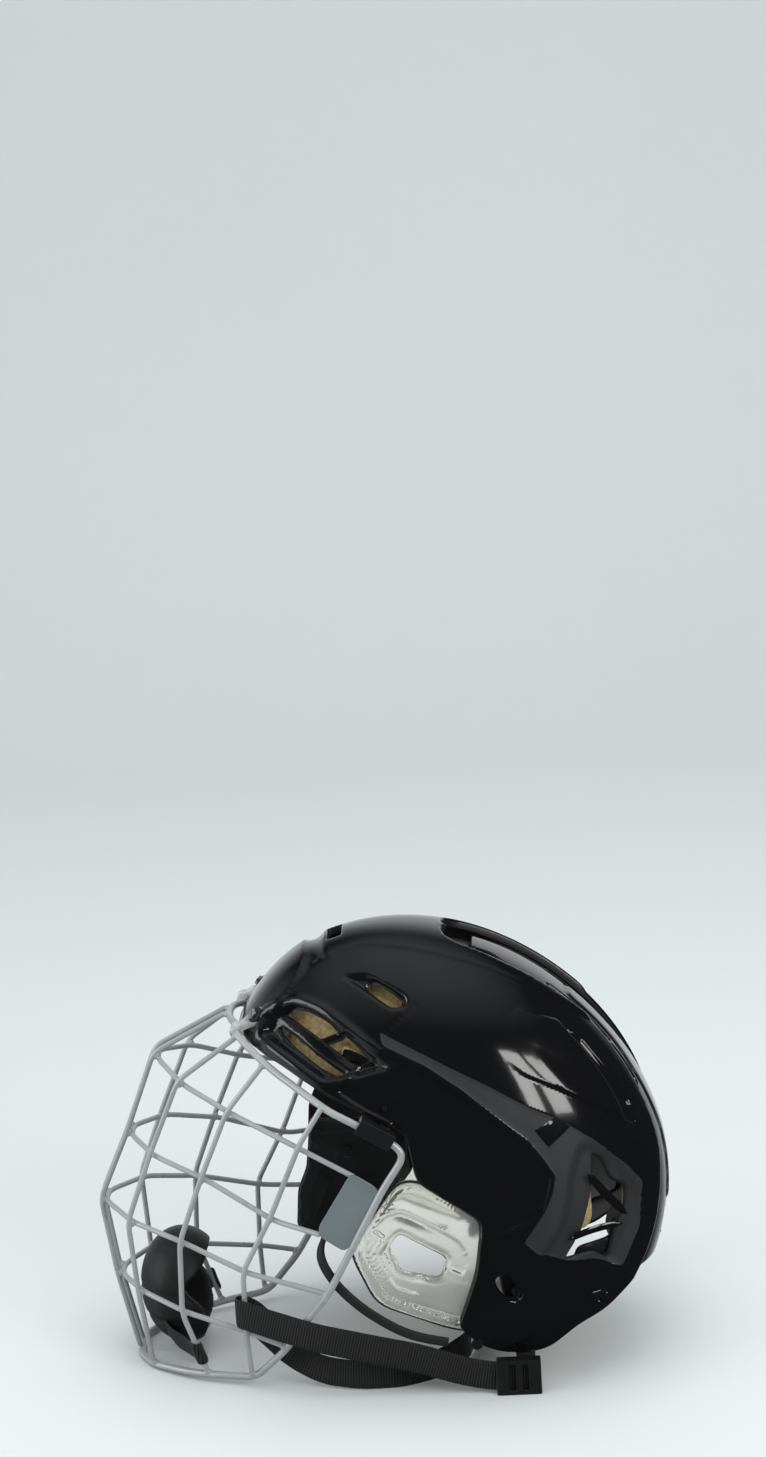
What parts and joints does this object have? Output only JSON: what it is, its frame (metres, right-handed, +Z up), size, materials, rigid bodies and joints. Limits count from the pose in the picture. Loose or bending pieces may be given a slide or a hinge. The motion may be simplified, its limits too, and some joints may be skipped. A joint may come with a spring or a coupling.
{
  "type": "ice hockey helmet with wire face cage",
  "caption": "Hard two-piece hockey helmet with a flip-up wire face cage, clear ear guards, chin cup, webbing chin strap and sliding size adjustment.",
  "frame": {"origin": "middle of the box on the ground the helmet stands on", "axes": "+Z up, the face looks along -Y, the wearer's left is +X; X = 0 is the plane of symmetry"},
  "size_m": [0.2142, 0.3674, 0.2821],
  "materials": {
    "shell_gloss": "glossy injection-moulded shell, near black with a slight blue cast",
    "liner_tan": "tan moulded foam",
    "guard_clear": "clear ear guard, slightly yellow",
    "rubber_black": "matte black rubber",
    "plastic_black": "matte black moulded plastic",
    "rivet_black": "glossy black rivet",
    "clip_clear": "smoky clear clip",
    "screw_steel": "plated screw",
    "screw_black": "black coated screw",
    "webbing": "ribbed black webbing",
    "pad_black": "black foam pad",
    "cage_silver": "satin silver-grey coated wire",
    "plate_grey": "smooth blue-grey coated sheet",
    "cup_black": "soft black moulded cup"
  },
  "bodies": {
    "helmet": {"front_shell": "shell_gloss", "front_liner": "liner_tan", "side_liner_l": "liner_tan", "side_liner_r": "liner_tan", "ear_guard_l": "guard_clear", "ear_guard_r": "guard_clear", "ear_loop_l": "rubber_black", "ear_loop_r": "rubber_black", "temple_panel_l": "plastic_black", "temple_panel_r": "plastic_black", "temple_rivets": "rivet_black", "top_clip_l": "clip_clear", "top_clip_r": "clip_clear", "top_screws": "screw_steel", "top_washers": "rubber_black", "side_clip_l": "plastic_black", "side_clip_r": "plastic_black", "side_clip_screws": "screw_black", "buckle_l": "plastic_black", "buckle_r": "plastic_black", "anchor_web_l": "webbing", "anchor_web_r": "webbing", "anchor_snaps": "screw_black", "chin_strap": "webbing"},
    "cage": {"cage_frame": "cage_silver", "center_bars": "cage_silver", "inner_bars": "cage_silver", "middle_bars": "cage_silver", "outer_bars": "cage_silver", "brow_bar": "cage_silver", "eye_bar": "cage_silver", "nose_bar": "cage_silver", "jaw_bar": "cage_silver", "side_plate_l": "plate_grey", "side_plate_r": "plate_grey", "chin_cup": "cup_black", "chin_cup_liner": "pad_black", "cup_hooks": "webbing"},
    "rear": {"rear_shell": "shell_gloss", "rear_liner": "liner_tan", "occipital_pad": "pad_black", "lock_track": "plastic_black"},
    "lock": {"lock_slider": "plastic_black"},
    "size_screw_left": {"size_screw_l": "screw_black"},
    "size_screw_right": {"size_screw_r": "screw_black"}
  },
  "joints": [
    {"name": "cage_flip", "type": "hinge", "parent": "helmet", "child": "cage", "pos_m": [0, -0.08467, 0.226], "axis": [-1, 0, 0], "range_deg": [0, 75], "deforming": ["chin_strap"]},
    {"name": "size_adjust", "type": "slide", "parent": "helmet", "child": "rear", "axis": [0, -0.722, 0.6919], "range_m": [0, 0.008]},
    {"name": "occipital_lock", "type": "slide", "parent": "rear", "child": "lock", "axis": [1, 0, 0], "range_m": [-0.006, 0.006]},
    {"name": "size_screw_turn_left", "type": "hinge", "parent": "rear", "child": "size_screw_left", "pos_m": [0.1, 0.08233, 0.0705], "axis": [1, 0, 0], "continuous": true},
    {"name": "size_screw_turn_right", "type": "hinge", "parent": "rear", "child": "size_screw_right", "pos_m": [-0.1, 0.08233, 0.0705], "axis": [1, 0, 0], "continuous": true}
  ]
}
